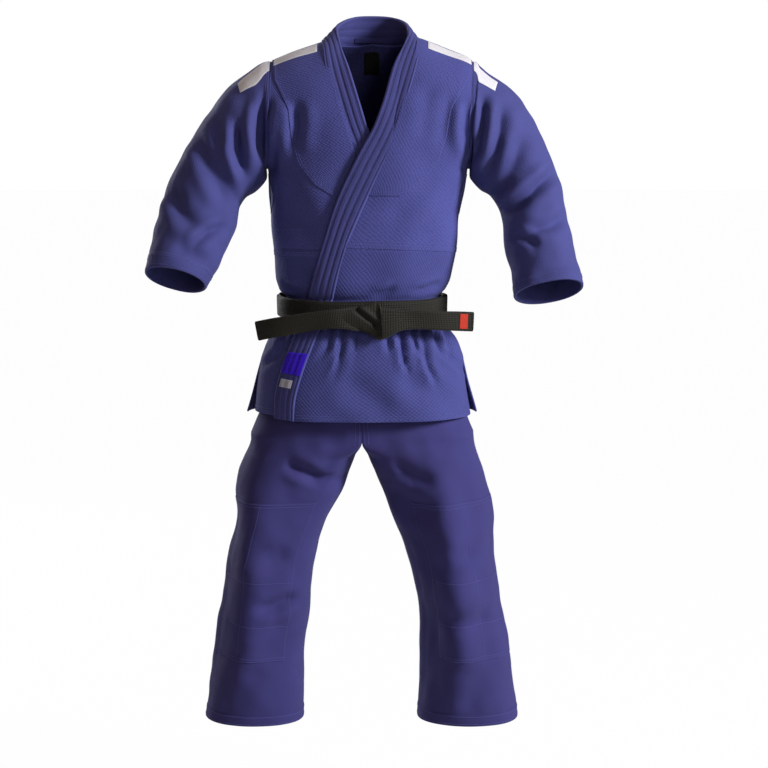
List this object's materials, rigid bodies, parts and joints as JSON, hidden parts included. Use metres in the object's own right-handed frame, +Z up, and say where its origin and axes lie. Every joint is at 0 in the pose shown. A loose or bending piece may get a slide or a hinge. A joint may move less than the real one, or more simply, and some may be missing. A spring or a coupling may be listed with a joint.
{
  "type": "martial arts uniform",
  "caption": "Blue wrapped cotton jacket with quilted lapels, tied black belt and straight trousers, in worn shape, with sleeves, skirt, belt tails and legs that move.",
  "frame": {"origin": "middle of the base of the neck, where the wearer's shoulders carry the jacket", "axes": "+Z up, the front faces -Y, +X is the wearer's left"},
  "size_m": [0.8891, 0.3018, 1.4814],
  "materials": {
    "jacket_cloth": "heavy rice-grain woven cotton, dyed blue, matt with a soft sheen",
    "sleeve_cloth": "heavy woven cotton with a finer grain, dyed blue",
    "skirt_cloth": "diamond-woven cotton, dyed blue",
    "lapel_cloth": "twill-covered quilted band with parallel rows of stitching",
    "trouser_cloth": "plain woven cotton drill, dyed blue",
    "belt_cloth": "black satin-faced cotton over a stitched core",
    "shoulder_tape": "plain white woven tape",
    "label_cloth": "plain black woven label",
    "patch_cloth": "bright blue woven patch with a stitched border",
    "tab_cloth": "pale grey woven tab",
    "mark_cloth": "plain red embroidered bar",
    "cord_cotton": "flat cotton cord"
  },
  "bodies": {
    "jacket": {"back_left_panel": "jacket_cloth", "back_right_panel": "jacket_cloth", "left_front_panel": "jacket_cloth", "right_front_panel": "jacket_cloth", "left_chest_yoke": "jacket_cloth", "right_chest_yoke": "jacket_cloth", "back_yoke": "jacket_cloth", "collar_back": "lapel_cloth", "left_lapel": "lapel_cloth", "right_lapel": "lapel_cloth", "left_armpit_gusset": "jacket_cloth", "right_armpit_gusset": "jacket_cloth", "left_shoulder_tape": "shoulder_tape", "right_shoulder_tape": "shoulder_tape", "neck_label": "label_cloth", "hanging_loop": "jacket_cloth", "belt_inner_turn": "belt_cloth", "belt_outer_turn": "belt_cloth", "belt_knot": "belt_cloth"},
    "left_sleeve": {"left_upper_sleeve": "sleeve_cloth", "left_lower_sleeve": "sleeve_cloth", "left_cuff": "sleeve_cloth"},
    "right_sleeve": {"right_upper_sleeve": "sleeve_cloth", "right_lower_sleeve": "sleeve_cloth", "right_cuff": "sleeve_cloth"},
    "front_skirt": {"over_skirt": "skirt_cloth", "under_skirt": "skirt_cloth", "left_lapel_end": "lapel_cloth", "right_lapel_end": "lapel_cloth", "lapel_patch": "patch_cloth", "lapel_tab": "tab_cloth"},
    "back_skirt": {"back_left_skirt": "skirt_cloth", "back_right_skirt": "skirt_cloth", "back_vent_tapes": "skirt_cloth"},
    "left_belt_tail": {"left_tail": "belt_cloth", "left_tail_mark": "mark_cloth"},
    "right_belt_tail": {"right_tail": "belt_cloth"},
    "trousers": {"waistband": "trouser_cloth", "drawstring": "cord_cotton", "hip_front": "trouser_cloth", "hip_back": "trouser_cloth", "crotch_gusset": "trouser_cloth"},
    "left_leg": {"left_leg_front": "trouser_cloth", "left_leg_back": "trouser_cloth", "left_knee_patch": "trouser_cloth", "left_leg_hem": "trouser_cloth"},
    "right_leg": {"right_leg_front": "trouser_cloth", "right_leg_back": "trouser_cloth", "right_knee_patch": "trouser_cloth", "right_leg_hem": "trouser_cloth"}
  },
  "joints": [
    {"name": "left_sleeve_raise", "type": "hinge", "parent": "jacket", "child": "left_sleeve", "pos_m": [0.214, 0, -0.022], "axis": [0, -1, 0], "range_deg": [0, 45]},
    {"name": "right_sleeve_raise", "type": "hinge", "parent": "jacket", "child": "right_sleeve", "pos_m": [-0.197, 0, -0.018], "axis": [0, 1, 0], "range_deg": [0, 45]},
    {"name": "front_skirt_lift", "type": "hinge", "parent": "jacket", "child": "front_skirt", "pos_m": [-0.012, -0.134, -0.594], "axis": [-1, 0, 0], "range_deg": [0, 25]},
    {"name": "back_skirt_lift", "type": "hinge", "parent": "jacket", "child": "back_skirt", "pos_m": [-0.012, 0.117, -0.594], "axis": [1, 0, 0], "range_deg": [0, 25]},
    {"name": "left_tail_swing", "type": "hinge", "parent": "jacket", "child": "left_belt_tail", "pos_m": [0.054, -0.1355, -0.541], "axis": [0, 0, -1], "range_deg": [0, 60]},
    {"name": "right_tail_swing", "type": "hinge", "parent": "jacket", "child": "right_belt_tail", "pos_m": [-0.042, -0.1345, -0.538], "axis": [0, 0, 1], "range_deg": [0, 60]},
    {"name": "trousers_pull_down", "type": "slide", "parent": "jacket", "child": "trousers", "axis": [0, 0, -1], "range_m": [0, 0.3]},
    {"name": "left_leg_open", "type": "hinge", "parent": "trousers", "child": "left_leg", "pos_m": [0.224, 0, -0.791], "axis": [0, -1, 0], "range_deg": [0, 15]},
    {"name": "right_leg_open", "type": "hinge", "parent": "trousers", "child": "right_leg", "pos_m": [-0.248, 0, -0.791], "axis": [0, 1, 0], "range_deg": [0, 15]}
  ]
}
